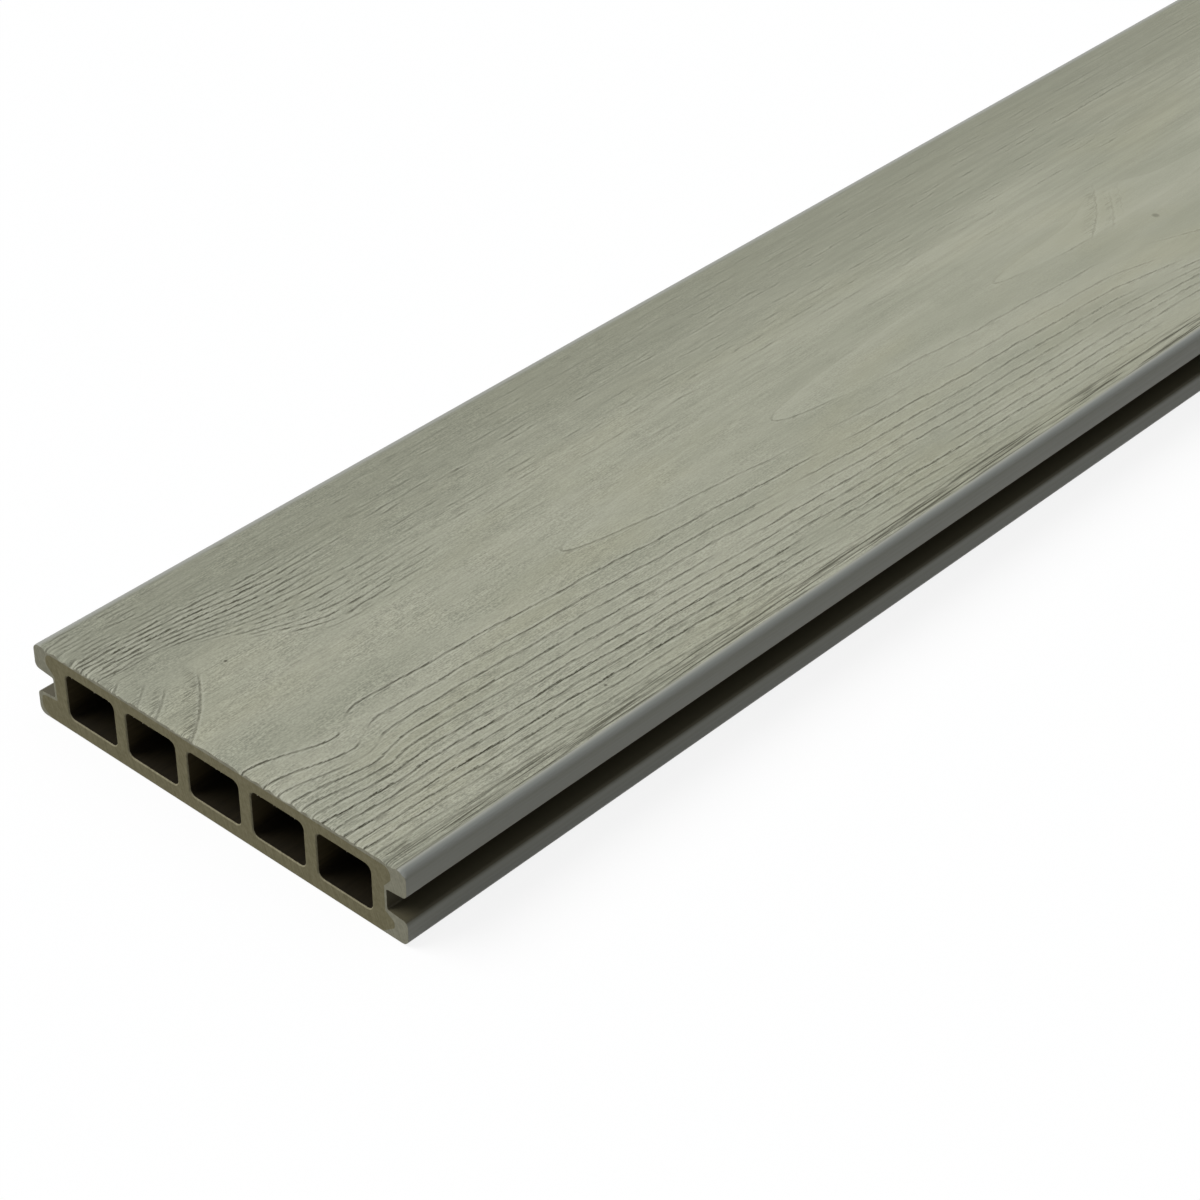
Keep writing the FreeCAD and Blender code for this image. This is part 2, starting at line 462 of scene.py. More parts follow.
@dataclass(frozen=True)
class Lines:
    """A family of numbered lines, pressed in wherever the number is whole."""

    half_width: float = 0.5 * MM
    depth: float = 0.24 * MM
    ridge: float = 0.05 * MM
    ridge_width: float = 1.5 * MM
    step: float = 0.1 * MM
    least_pace: float = 8.0
    beats: tuple[tuple[float, float], ...] = ((1.0, 1.0), (0.7, 0.37))
    beat_limits: Limits = (-0.4, 0.7)
    figure: Figure = field(default_factory=Figure)

    def number(self, x: Array, along: Array) -> Array:
        """Numbers the lines; each kind of line has its own way."""
        raise NotImplementedError(type(self).__name__)

    def mark(self, x: Array, along: Array) -> Array:
        """Tells how strongly the nearest line is pressed in, from 0 to 1."""
        raise NotImplementedError(type(self).__name__)

    def climb(self, x: Array, along: Array) -> tuple[Array, Array]:
        """Finds how fast the number rises.

        Args:
            x: Distance from the middle of the board.
            along: Distance from the near cut end.

        Returns:
            The rise per metre across and along the board.
        """
        across = self.number(x + self.step, along) - self.number(x - self.step, along)
        length = self.number(x, along + self.step) - self.number(x, along - self.step)
        return across / (2 * self.step), length / (2 * self.step)

    def pace(self, x: Array, along: Array) -> Array:
        """Counts the lines per metre, square to them."""
        return np.maximum(np.hypot(*self.climb(x, along)), self.least_pace)

    def unbroken(self, line: Array, along: Array, reach: Amount, bias: Amount) -> Array:
        """Breaks lines into dashes, each line at its own places.

        Args:
            line: The number of each place's line.
            along: Distance from the near cut end.
            reach: Length over which a line comes and goes.
            bias: Above 0 the lines have few gaps, below 0 few dashes.

        Returns:
            1 on a dash and 0 in a gap.
        """
        waves = [
            share * np.sin(2 * math.pi * (along / (part * reach) + scatter(line, salt)))
            for salt, (share, part) in enumerate(self.beats, Salt.BEAT)
        ]
        return smooth(sum(waves) + bias, *self.beat_limits)

    def relief(self, x: Array, along: Array) -> Array:
        """Shapes the grooves and the slight ridges beside them.

        Args:
            x: Distance from the middle of the board.
            along: Distance from the near cut end.

        Returns:
            How deep each place lies below the flat.
        """
        number = self.number(x, along)
        away = np.abs(number - np.rint(number)) / self.pace(x, along)
        groove = np.cos(0.5 * math.pi * np.clip(away / self.half_width, 0, 1)) ** 2
        ridge = 1 - smooth(away, self.half_width, self.ridge_width)
        mark = self.mark(x, along)
        return self.depth * groove * mark + self.ridge * (1 - ridge * mark)


@dataclass(frozen=True)
class Rings(Lines):
    """Growth rings of the middle and the right, which close into pointed arches along an axis."""

    axis: float = 4.2 * MM
    axis_width: float = 24.0 * MM
    line_spacing: float = 3.1 * MM
    arch_rings: float = 2.88
    arch_length: float = 385 * MM
    arch_reach: float = 20 * MM
    left_rate: float = 0.05
    right_rate: float = 0.6
    first_ring: float = 0.67
    break_length: float = 150 * MM
    tip_limits: Limits = (5 * MM, 9 * MM)
    steep_limits: Limits = (0.3, 0.6)
    eye_limits: Limits = (0.3, 0.6)
    left_share: float = 0.12
    left_limits: Limits = (-16 * MM, -6 * MM)
    right_limits: Limits = (-3 * MM, 2 * MM)
    edge_loss: float = 0.45
    edge_limits: Limits = (53 * MM, 60 * MM)
    strengths: Limits = (0.66, 0.96)
    arch_strength: float = 0.5
    bias: float = 1.7
    arch_bias: float = 1.2
    least_vigour: float = 0.5
    least_bias: float = 0.75

    def number(self, x: Array, along: Array) -> Array:
        """Numbers the growth rings from the axis out.

        Args:
            x: Distance from the middle of the board.
            along: Distance from the near cut end.

        Returns:
            The ring number at each place.
        """
        offset = self.figure.calm(x, along) - self.axis
        rate = np.where(offset > 0, self.right_rate, self.left_rate)
        pull = rate + (1 - rate) * np.exp(-((offset / self.arch_reach) ** 2))
        arch = self.arch_rings / 2 * (1 - np.cos(math.pi * along / self.arch_length))
        spread = np.hypot(offset, self.axis_width) - self.axis_width
        return spread / self.line_spacing - pull * arch + self.first_ring

    def mark(self, x: Array, along: Array) -> Array:
        """Tells how strongly the nearest ring is pressed in.

        Args:
            x: Distance from the middle of the board.
            along: Distance from the near cut end.

        Returns:
            The strength, from 0 to 1.
        """
        across, length = self.climb(x, along)
        steep = smooth(np.abs(length) / np.maximum(np.abs(across), 1.0), *self.steep_limits)
        aside = smooth(np.abs(x - self.axis), *self.tip_limits)
        kept = self.figure.vigour(along, self.least_vigour) * (1 - steep * aside)
        for eye in self.figure.eyes:
            kept = kept * (1 - smooth(eye.calm(x, along), *self.eye_limits))
        left = self.left_share * smooth(x, *self.left_limits)
        right = (1 - self.left_share) * smooth(x - self.axis, *self.right_limits)
        kept = kept * (left + right) * (1 - self.edge_loss * smooth(x, *self.edge_limits))
        index = np.rint(self.number(x, along))
        strength = np.where(index < 1, self.arch_strength, scatter(index, Salt.STRENGTH, self.strengths))
        bias = np.where(index < 1, self.arch_bias, self.bias) * self.figure.vigour(along, self.least_bias)
        return strength * kept * self.unbroken(index, along, self.break_length, bias)


@dataclass(frozen=True)
class Zone:
    """How strongly a part of the fan is pressed where it is crowded and apart, and how unbroken."""

    crowded: float
    apart: float
    bias: float


@dataclass(frozen=True)
class Fan(Lines):
    """Crowded lines on the left, squeezed past the knots there and spread out between them.

    Each line has its source on the near cut end. The lines beside the knot's eye spread the most.
    """

    spacing: float = 1.6 * MM
    edge: float = -64 * MM
    pinch: float = -42.5 * MM
    shift: float = 8.0 * MM
    inner_gain: float = 2.2
    inner_rate: float = 2.0
    spread_limits: Limits = (8 * MM, 66 * MM)
    ripple: Wave = Wave(11 * MM, -6.1 * MM, 0.12 * MM)
    outer: Zone = Zone(0.15, 0.4, 0.0)
    outer_limits: Limits = (-56 * MM, -52 * MM)
    outer_gain: float = 0.35
    gain_limits: Limits = (12 * MM, 36 * MM)
    bundle: Zone = Zone(0.85, 0.6, 0.95)
    inner_limits: Limits = (-42.4 * MM, -41.6 * MM)
    rim: Zone = Zone(0.75, 0.55, 0.55)
    rim_limits: Limits = (-37.5 * MM, -35.5 * MM)
    rim_slope: float = 4.5
    rim_start: Limits = (17 * MM, 27 * MM)
    crowds: tuple[float, ...] = (10 * MM, 765 * MM, 1545 * MM)
    crowd_limits: Limits = (40 * MM, 84 * MM)
    inner_stretch: float = 18 * MM
    few_limits: Limits = (0.3, 0.55)
    dash_length: float = 18 * MM
    dash_bias: float = 0.35
    streak_lengths: Limits = (21.6 * MM, 54 * MM)
    streak_bias: float = -0.2
    least_vigour: float = 0.5
    strengths: Limits = (0.65, 1.0)

    def source(self, x: Array, along: Array) -> Array:
        """Finds where each place's line starts on the near cut end.

        Args:
            x: Distance from the middle of the board.
            along: Distance from the near cut end.

        Returns:
            The distance of the start from the middle.
        """
        share = smooth(along, *self.spread_limits)
        away = self.figure.calm(x, along) + self.ripple.sway(x, along) - self.pinch - self.shift * share
        gain = np.where(away < 0, self.shift / (self.pinch - self.edge), self.inner_gain)
        return self.pinch + away / (1 + gain * share)

    def number(self, x: Array, along: Array) -> Array:
        """Numbers the lines from the left to the middle; past the pinch they stand closer."""
        source = self.source(x, along)
        return (source + (self.inner_rate - 1) * np.maximum(source - self.pinch, 0.0)) / self.spacing

    def mark(self, x: Array, along: Array) -> Array:
        """Tells how strongly the nearest line is pressed in.

        Args:
            x: Distance from the middle of the board.
            along: Distance from the near cut end.

        Returns:
            The strength, from 0 to 1.
        """
        source = self.source(x, along)
        line = np.rint(self.number(x, along))
        distance = np.min([np.abs(along - crowd) for crowd in self.crowds], axis=0)
        outer = 1 - smooth(source, *self.outer_limits)
        inner = smooth(source, *self.inner_limits)
        begun = smooth(along - self.rim_slope * (source - self.pinch), *self.rim_start)
        rim = inner * (1 - smooth(source, *self.rim_limits)) * begun
        zones = ((outer, self.outer), ((1 - outer) * (1 - inner), self.bundle), (rim, self.rim))
        crowd = 1 - smooth(distance - self.inner_stretch * inner, *self.crowd_limits)
        close = sum(share * zone.crowded for share, zone in zones)
        close = close + outer * self.outer_gain * (1 - smooth(distance, *self.gain_limits))
        bias = self.dash_bias + sum(share * zone.bias for share, zone in zones)
        dashes = close * crowd * self.unbroken(line, along, self.dash_length, bias)
        apart = sum(share * zone.apart for share, zone in zones)
        apart = apart * smooth(scatter(line, Salt.FEW), *self.few_limits) * (1 - crowd)
        reach = scatter(line, Salt.STREAK, self.streak_lengths)
        streaks = apart * self.unbroken(line, along, reach, self.streak_bias)
        streaks = streaks * self.figure.vigour(along, self.least_vigour)
        return (dashes + streaks) * scatter(line, Salt.STRENGTH, self.strengths)


@dataclass(frozen=True)
class EyeArcs(Lines):
    """The arcs across the knots' eyes, each a small step where the fibre ends."""

    depth: float = 0.14 * MM
    ridge: float = 0.0
    halfway: float = 200 * MM

    def number(self, x: Array, along: Array) -> Array:
        """Numbers the arcs of the nearer eye."""
        near, far = self.figure.eyes
        return np.where(along < self.halfway, near.number(x, along), far.number(x, along))

    def mark(self, x: Array, along: Array) -> Array:
        """Tells how strongly the nearest arc is pressed in, from 0 to 1."""
        return sum(eye.mark(x, along) for eye in self.figure.eyes)


@dataclass(frozen=True)
class Ramp:
    """A smooth rise or fall between two limits."""

    low: float
    high: float
    start: float = 0.0
    end: float = 1.0

    def inputs(self) -> dict[str | int, Value]:
        """Names the ramp's numbers as the node that maps values over it does."""
        return {"From Min": self.low, "From Max": self.high, "To Min": self.start, "To Max": self.end}


@dataclass(frozen=True)
class Cloud:
    """Noise that may be stretched: its size along each coordinate, its finer layers and its ramp."""

    sizes: tuple[float, ...]
    detail: float = 2.0
    roughness: float = 0.5
    ramp: Ramp | None = None


@dataclass
class Wiring:
    """Adds shader nodes to one tree and joins them."""

    tree: bpy.types.NodeTree

    def add(
        self, kind: str, inputs: dict[str | int, Value] | None = None, **settings: object
    ) -> bpy.types.Node:
        """Adds one node.

        Args:
            kind: The node's type name.
            inputs: Values or links for its inputs, by name or place.
            **settings: Properties of the node.

        Returns:
            The new node.
        """
        node = self.tree.nodes.new(kind)
        for name, setting in settings.items():
            setattr(node, name, setting)
        for key, value in (inputs or {}).items():
            if isinstance(value, Socket):
                self.tree.links.new(value, node.inputs[key])
            else:
                node.inputs[key].default_value = value
        return node

    def maths(self, operation: str, *values: Value) -> Socket:
        """Works values together, two at a time.

        Args:
            operation: What is done with each two.
            *values: The values in order; a second one that is missing counts as 0.

        Returns:
            The result.
        """
        result = values[0]
        for value in values[1:] or (0.0,):
            inputs = {0: result, 1: value}
            result = self.add("ShaderNodeMath", inputs, operation=operation).outputs[0]
        return result

    def plus(self, *values: Value) -> Socket:
        """Adds values."""
        return self.maths("ADD", *values)

    def times(self, *values: Value) -> Socket:
        """Multiplies values."""
        return self.maths("MULTIPLY", *values)

    def most(self, *values: Value) -> Socket:
        """Picks the greatest of the values."""
        return self.maths("MAXIMUM", *values)

    def weigh(self, share: float, first: Value, second: Value) -> Socket:
        """Adds two values, the first by its share and the second by the rest."""
        return self.plus(self.times(first, share), self.times(second, 1 - share))

    def rise(self, value: Value, ramp: Ramp) -> Socket:
        """Maps a value over a ramp."""
        inputs = {"Value": value} | ramp.inputs()
        return self.add("ShaderNodeMapRange", inputs, interpolation_type="SMOOTHSTEP").outputs[0]

    def blend(self, factor: Value, first: Value, second: Value) -> Socket:
        """Mixes two colours by a factor."""
        inputs = {0: factor, 6: first, 7: second}
        return self.add("ShaderNodeMix", inputs, data_type="RGBA").outputs[2]

    def toned(self, colour: Socket, value: Value) -> Socket:
        """Makes a colour lighter or darker."""
        return self.add("ShaderNodeHueSaturation", {"Value": value, "Color": colour}).outputs[0]

    def attribute(self, name: str) -> Socket:
        """Reads a number that the mesh carries."""
        return self.add("ShaderNodeAttribute", attribute_name=name).outputs["Fac"]

    def place(self) -> tuple[Socket, Socket, Socket]:
        """Reads where the surface is, in the object's own space.

        Returns:
            X, Y and Z.
        """
        coordinates = self.add("ShaderNodeTexCoord").outputs["Object"]
        split = self.add("ShaderNodeSeparateXYZ", {0: coordinates})
        return split.outputs[0], split.outputs[1], split.outputs[2]

    def noise(self, cloud: Cloud, *axes: Value) -> Socket:
        """Adds cloudy noise.

        Args:
            cloud: What the noise is like.
            *axes: The coordinates, in the order of the cloud's sizes.

        Returns:
            The noise, from 0 to 1 or as its ramp maps it.
        """
        scaled = {n: self.times(axis, 1 / size) for n, (axis, size) in enumerate(zip(axes, cloud.sizes))}
        vector = self.add("ShaderNodeCombineXYZ", scaled).outputs[0]
        inputs = {"Vector": vector, "Scale": 1.0, "Detail": cloud.detail, "Roughness": cloud.roughness}
        noise = self.add("ShaderNodeTexNoise", inputs).outputs["Fac"]
        return self.rise(noise, cloud.ramp) if cloud.ramp else noise

    def shown(self) -> Socket:
        """Picks the rays that show a thing rather than light others with it."""
        path = self.add("ShaderNodeLightPath").outputs
        return self.most(path["Is Camera Ray"], path["Is Glossy Ray"], path["Is Transmission Ray"])

    def plastic(self, colour: Socket, roughness: Value, gloss: float, height: Value) -> Socket:
        """Builds the surface of a filled plastic.

        Args:
            colour: Its colour.
            roughness: How rough it is.
            gloss: How strongly it mirrors.
            height: Its fine relief, in metres.

        Returns:
            The surface.
        """
        normal = self.add("ShaderNodeBump", {"Height": height, "Distance": 1.0, "Strength": 1.0}).outputs[0]
        inputs = {"Base Color": colour, "Roughness": roughness}
        inputs |= {"Specular IOR Level": gloss, "Normal": normal}
        return self.add("ShaderNodeBsdfPrincipled", inputs).outputs[0]


@dataclass(frozen=True)
class Finish:
    """A finish of the board; each kind adds its own shader."""

    name: str

    def shader(self, wiring: Wiring) -> Socket:
        """Builds the finish's surface shader."""
        raise NotImplementedError(self.name)

    def material(self) -> bpy.types.Material:
        """Makes the finish's material.

        Returns:
            The material.
        """
        material = bpy.data.materials.new(self.name)
        material.use_nodes = True
        material.node_tree.nodes.clear()
        wiring = Wiring(material.node_tree)
        wiring.add("ShaderNodeOutputMaterial", {"Surface": self.shader(wiring)})
        return material


@dataclass(frozen=True)
class Pith:
    """A small dark speck of pith in the face, or the wide faint shade beside a knot."""

    x: float
    along: float
    radius: float
    strength: float


@dataclass(frozen=True)
class Comb:
    """How far and how darkly the fibre stands out on one side of a family's lines."""

    family: str
    reach: float
    share: float


@dataclass(frozen=True)
class SkinFinish(Finish):
    """The cap's skin: embossed grain on the face, smooth extruded lips and grooves."""

    pale: Colour = srgb(164, 164, 147)
    dull: Colour = srgb(152, 153, 136)
    warm: Colour = srgb(161, 159, 135)
    shade: Colour = srgb(137, 138, 122)
    # Dark colour of the grain's grooves: partly the grain's own colour, partly painted shade in the grooves.
    groove: Colour = srgb(64, 62, 48)
    # Pale colour: a painted highlight on the ridges beside the grooves, and the pale young wood inside the
    # arches.
    ridge: Colour = srgb(182, 182, 165)
    # Painted shade on the rounded edges, with a cool tint as a painted reflection of the sky.
    rim: Colour = srgb(122, 126, 123)
    side: Colour = srgb(157, 157, 149)
    # Painted shade inside the clip grooves, darker than the lips' own colour.
    groove_shade_colour: Colour = srgb(80, 76, 60)
    roughness: Ramp = Ramp(0.0, 1.0, 0.45, 0.62)
    gloss: float = 0.15
    fibre_height: float = 0.06 * MM
    groove_depth: float = 0.18 * MM
    streak_height: float = 0.015 * MM
    combs: tuple[Comb, ...] = (
        Comb("ring", 1.7 * MM, 0.6), Comb("fan", 1.0 * MM, 0.4), Comb("arc", 6.5 * MM, 0.95),
    )
    piths: tuple[Pith, ...] = (
        Pith(17 * MM, 387.5 * MM, 1.3 * MM, 0.4), Pith(-25.5 * MM, 28.3 * MM, 0.6 * MM, 0.7),
        Pith(54 * MM, 87 * MM, 0.5 * MM, 0.7), Pith(21 * MM, 42 * MM, 0.4 * MM, 0.5),
        Pith(40 * MM, 328 * MM, 15 * MM, 0.07),
    )
    pith_edge: Limits = (0.4, 1.3)
    fibre: Cloud = Cloud((0.42 * MM, 6.0 * MM), 2.0, 0.6)
    fibre_rag: Ramp = Ramp(0.35, 0.65, -0.2 * MM, 0.2 * MM)
    grit: Cloud = Cloud((0.4 * MM, 0.9 * MM), 1.0)
    grit_rag: Ramp = Ramp(0.35, 0.65, -0.12 * MM, 0.12 * MM)
    groove_wall: Ramp = Ramp(0.08 * MM, 0.38 * MM, 1.0, 0.0)
    groove_fade: Cloud = Cloud((1.1 * MM, 7.0 * MM), 2.0, 0.6, Ramp(0.36, 0.58, 0.5, 1.1))
    tooth: Ramp = Ramp(0.5, 0.58)
    tooth_root: Ramp = Ramp(0.0, 0.2 * MM)
    # Where the painted highlight on the ridge beside a groove rises and falls.
    ridge_foot: Ramp = Ramp(0.3 * MM, 0.5 * MM)
    ridge_back: Ramp = Ramp(0.5 * MM, 1.4 * MM, 1.0, 0.0)
    ridge_strength: float = 0.75
    pores: Cloud = Cloud((0.7 * MM, 9 * MM), 1.0, 0.5, Ramp(0.56, 0.72))
    pore_patches: Cloud = Cloud((6 * MM, 30 * MM), 1.0, 0.5, Ramp(0.45, 0.65))
    pores_left: Ramp = Ramp(-20 * MM, 10 * MM, 1.0, 0.3)
    pores_right: Ramp = Ramp(55 * MM, 61 * MM, 0.0, 1.8)
    pore_strength: float = 0.3
    hem_streaks: Cloud = Cloud((0.7 * MM, 40 * MM), 3.0, 0.65, Ramp(0.47, 0.62))
    hem_width: Ramp = Ramp(59.5 * MM, 62.5 * MM, 0.0, 0.8)
    young: Ramp = Ramp(0.55, 0.97)
    young_end: Ramp = Ramp(0.97, 1.0, 1.0, 0.0)
    arch_width: Ramp = Ramp(5 * MM, 13 * MM, 1.0, 0.0)
    arch_rings: Ramp = Ramp(0.1, 0.3, 1.0, 0.0)
    arch_strength: float = 0.2
    clouds: Cloud = Cloud((15 * MM, 90 * MM), 3.0, 0.55, Ramp(0.3, 0.7))
    tint: Cloud = Cloud((24 * MM, 70 * MM), 2.0, 0.5, Ramp(0.45, 0.7, 0.0, 0.3))
    tint_shift: float = 0.7
    shades: tuple[Ramp, ...] = (Ramp(-62 * MM, -14 * MM, 0.8, 0.0), Ramp(24 * MM, 64 * MM, 0.0, 0.1))
    crisp: Cloud = Cloud((9 * MM, 26 * MM), 1.0, 0.5, Ramp(0.35, 0.65, 0.45, 1.0))
    fine: Ramp = Ramp(0.34, 0.66, 0.13, -0.18)
    soft: Cloud = Cloud((1.7 * MM, 42 * MM), 2.0, 0.55, Ramp(0.34, 0.66, 0.04, -0.05))
    soft_side: Ramp = Ramp(-16 * MM, 4 * MM, 1.0, 0.3)
    die_streaks: Cloud = Cloud((0.7 * MM, 0.7 * MM, 260 * MM), 2.0, 0.6)
    die_shade: Ramp = Ramp(0.3, 0.7, 0.0, 0.35)

    def specks(self, wiring: Wiring, x: Socket, y: Socket) -> Socket:
        """Marks the specks of pith.

        Args:
            wiring: The material's wiring.
            x: The distance across.
            y: The distance along, from the middle of the board.

        Returns:
            How dark a speck is, from 0 to 1.
        """
        place = wiring.add("ShaderNodeCombineXYZ", {0: x, 1: y}).outputs[0]
        specks = []
        for pith in self.piths:
            inputs = {0: place, 1: (pith.x, CAD_BOX[0].y + pith.along, 0.0)}
            away = wiring.add("ShaderNodeVectorMath", inputs, operation="DISTANCE").outputs["Value"]
            low, high = (share * pith.radius for share in self.pith_edge)
            specks.append(wiring.rise(away, Ramp(low, high, pith.strength, 0.0)))
        return wiring.most(*specks)

    def pressed(self, wiring: Wiring, comb: Comb, fibre: Socket, grit: Socket) -> tuple[Socket, Socket]:
        """Finds where a place lies beside the nearest line of a family.

        Args:
            wiring: The material's wiring.
            comb: The family and the fibre that stands out beside its lines.
            fibre: Fine noise drawn out along the board.
            grit: Fine noise that is about as wide as long.

        Returns:
            How deep in the groove and how far up its ridge the place is, each from 0 to 1.
        """
        number = wiring.plus(wiring.attribute(comb.family + "_number"), 0.5)
        aside = wiring.maths("SUBTRACT", wiring.maths("FRACT", number), 0.5)
        aside = wiring.maths("DIVIDE", aside, wiring.attribute(comb.family + "_pace"))
        ragged = wiring.plus(wiring.rise(fibre, self.fibre_rag), wiring.rise(grit, self.grit_rag))
        away = wiring.plus(wiring.maths("ABSOLUTE", aside), ragged)
        root, tip = self.tooth_root, Ramp(self.tooth_root.high, comb.reach, comb.share, 0.0)
        sides = wiring.times(wiring.rise(aside, root), wiring.rise(aside, tip))
        teeth = wiring.times(wiring.rise(fibre, self.tooth), sides)
        # The groove mask darkens each groove, partly as painted shade.
        groove = wiring.most(wiring.rise(away, self.groove_wall), teeth)
        # This mask places a painted highlight on the ridge beside each groove.
        ridge = wiring.times(wiring.rise(away, self.ridge_foot), wiring.rise(away, self.ridge_back))
        mark = wiring.attribute(comb.family + "_mark")
        return wiring.times(groove, mark), wiring.times(ridge, mark)

    def strokes(self, wiring: Wiring, x: Socket, y: Socket) -> Socket:
        """Scatters short dark pores along the board, most of them on the left."""
        busy = wiring.plus(wiring.rise(x, self.pores_left), wiring.rise(x, self.pores_right))
        return wiring.times(wiring.noise(self.pores, x, y), wiring.noise(self.pore_patches, x, y), busy)

    def hem(self, wiring: Wiring, x: Socket, y: Socket) -> Socket:
        """Draws the ragged dark streaks beside the right edge, from 0 to 1."""
        return wiring.times(wiring.noise(self.hem_streaks, x, y), wiring.rise(x, self.hem_width))

    def arches(self, wiring: Wiring, x: Socket) -> Socket:
        """Tells how pale the young wood is inside the pointed arches.

        Args:
            wiring: The material's wiring.
            x: The distance across.

        Returns:
            The share of the pale colour, from 0 to 1.
        """
        number = wiring.attribute("ring_number")
        inside = wiring.maths("FRACT", number)
        young = wiring.times(wiring.rise(inside, self.young), wiring.rise(inside, self.young_end))
        aside = wiring.maths("ABSOLUTE", wiring.maths("SUBTRACT", x, Rings.axis))
        middle = wiring.times(wiring.rise(aside, self.arch_width), wiring.rise(number, self.arch_rings))
        return wiring.times(young, middle, self.arch_strength)

    def face(self, wiring: Wiring, x: Socket, y: Socket, fibre: Socket, grit: Socket) -> Socket:
        """Colours the grained face before its grooves.

        Args:
            wiring: The material's wiring.
            x: The distance across.
            y: The distance along.
            fibre: Fine noise drawn out along the board.
            grit: Fine noise that is about as wide as long.

        Returns:
            The colour.
        """
        colour = wiring.blend(wiring.noise(self.clouds, x, y), self.dull, self.pale)
        tint = wiring.noise(self.tint, x, wiring.plus(y, self.tint_shift))
        colour = wiring.blend(tint, colour, self.warm)
        for shade in self.shades:
            colour = wiring.blend(wiring.rise(x, shade), colour, self.shade)
        colour = wiring.blend(self.arches(wiring, x), colour, self.ridge)
        crisp = wiring.times(wiring.noise(self.crisp, x, y), wiring.attribute("vigour"))
        fine = wiring.plus(wiring.rise(fibre, self.fine), wiring.rise(grit, self.fine))
        soft = wiring.times(wiring.noise(self.soft, x, y), wiring.rise(x, self.soft_side))
        return wiring.toned(colour, wiring.plus(wiring.times(fine, crisp), soft, 1.0))

    def shader(self, wiring: Wiring) -> Socket:
        """Builds the skin's shader.

        Args:
            wiring: The material's wiring.

        Returns:
            The surface.
        """
        x, y, z = wiring.place()
        emboss = wiring.attribute("emboss")
        fibre, grit = wiring.noise(self.fibre, x, y), wiring.noise(self.grit, x, y)
        fade = wiring.noise(self.groove_fade, x, y)
        pores = wiring.times(self.strokes(wiring, x, y), wiring.attribute("vigour"), self.pore_strength)
        darks, ridge_highlights = [pores, self.specks(wiring, x, y), self.hem(wiring, x, y)], []
        for comb in self.combs:
            groove, ridge = self.pressed(wiring, comb, fibre, grit)
            darks.append(wiring.times(groove, fade))
            ridge_highlights.append(ridge)
        dark = wiring.times(wiring.most(*darks), emboss)
        # Paints a highlight on the ridges beside the grooves.
        ridge_highlight = wiring.times(wiring.most(*ridge_highlights), self.ridge_strength)
        face = wiring.blend(ridge_highlight, self.face(wiring, x, y, fibre, grit), self.ridge)
        # Darkens the grooves, partly as the grain's own colour and partly as painted shade; pores, pith
        # specks and edge streaks are the face's own colour.
        face = wiring.blend(dark, face, self.groove)
        streak = wiring.noise(self.die_streaks, x, z, y)
        side = wiring.blend(wiring.rise(streak, self.die_shade), self.side, self.shade)
        # Paints shade inside the clip grooves.
        side = wiring.blend(wiring.attribute("groove_shade"), side, self.groove_shade_colour)
        # Paints shade on the rounded edges, more on the right edge, which faces away from the key light.
        colour = wiring.blend(wiring.attribute("rim"), wiring.blend(emboss, side, face), self.rim)

        fine = wiring.times(fibre, self.fibre_height)
        pressed = wiring.maths("SUBTRACT", fine, wiring.times(dark, self.groove_depth))
        height = wiring.plus(wiring.times(pressed, emboss), wiring.times(streak, self.streak_height))
        return wiring.plastic(colour, wiring.rise(emboss, self.roughness), self.gloss, height)


@dataclass(frozen=True)
class SawnFinish(Finish):
    """A cut end: fine saw strokes over a slightly mottled filled plastic."""

    light: Colour
    dark: Colour
    roughness: float = 0.75
    gloss: float = 0.1
    slant: float = 0.35
    strokes: Cloud = Cloud((0.35 * MM, 5 * MM), 3.0, 0.65)
    stroke_share: float = 0.6
    stroke_height: float = 0.05 * MM
    mottle: Cloud = Cloud((1.6 * MM, 1.6 * MM), 3.0, 0.6)
    contrast: Ramp = Ramp(0.32, 0.68)

    def shader(self, wiring: Wiring) -> Socket:
        """Builds the cut end's shader.

        Args:
            wiring: The material's wiring.

        Returns:
            The surface.
        """
        x, _, z = wiring.place()
        stroke = wiring.noise(self.strokes, wiring.plus(x, wiring.times(z, self.slant)), z)
        tone = wiring.weigh(self.stroke_share, stroke, wiring.noise(self.mottle, x, z))
        colour = wiring.blend(wiring.rise(tone, self.contrast), self.dark, self.light)
        return wiring.plastic(colour, self.roughness, self.gloss, wiring.times(stroke, self.stroke_height))


@dataclass(frozen=True)
class ExtrudedFinish(Finish):
    """Bare core as it leaves the die: streaks along the length."""

    light: Colour
    dark: Colour
    roughness: float = 0.5
    gloss: float = 0.15
    streaks: Cloud = Cloud((0.9 * MM, 0.9 * MM, 220 * MM), 3.0, 0.6)
    streak_share: float = 0.65
    specks: Cloud = Cloud((1.2 * MM, 1.2 * MM, 4 * MM))
    contrast: Ramp = Ramp(0.3, 0.7)
    tone_height: float = 0.04 * MM

    def colour(self, wiring: Wiring, tone: Socket) -> Socket:
        """Colours the streaks."""
        return wiring.blend(wiring.rise(tone, self.contrast), self.dark, self.light)

    def shader(self, wiring: Wiring) -> Socket:
        """Builds the extruded core's shader.

        Args:
            wiring: The material's wiring.

        Returns:
            The surface.
        """
        x, y, z = wiring.place()
        streak, speck = wiring.noise(self.streaks, x, z, y), wiring.noise(self.specks, x, z, y)
        tone = wiring.weigh(self.streak_share, streak, speck)
        height = wiring.times(tone, self.tone_height)
        return wiring.plastic(self.colour(wiring, tone), self.roughness, self.gloss, height)


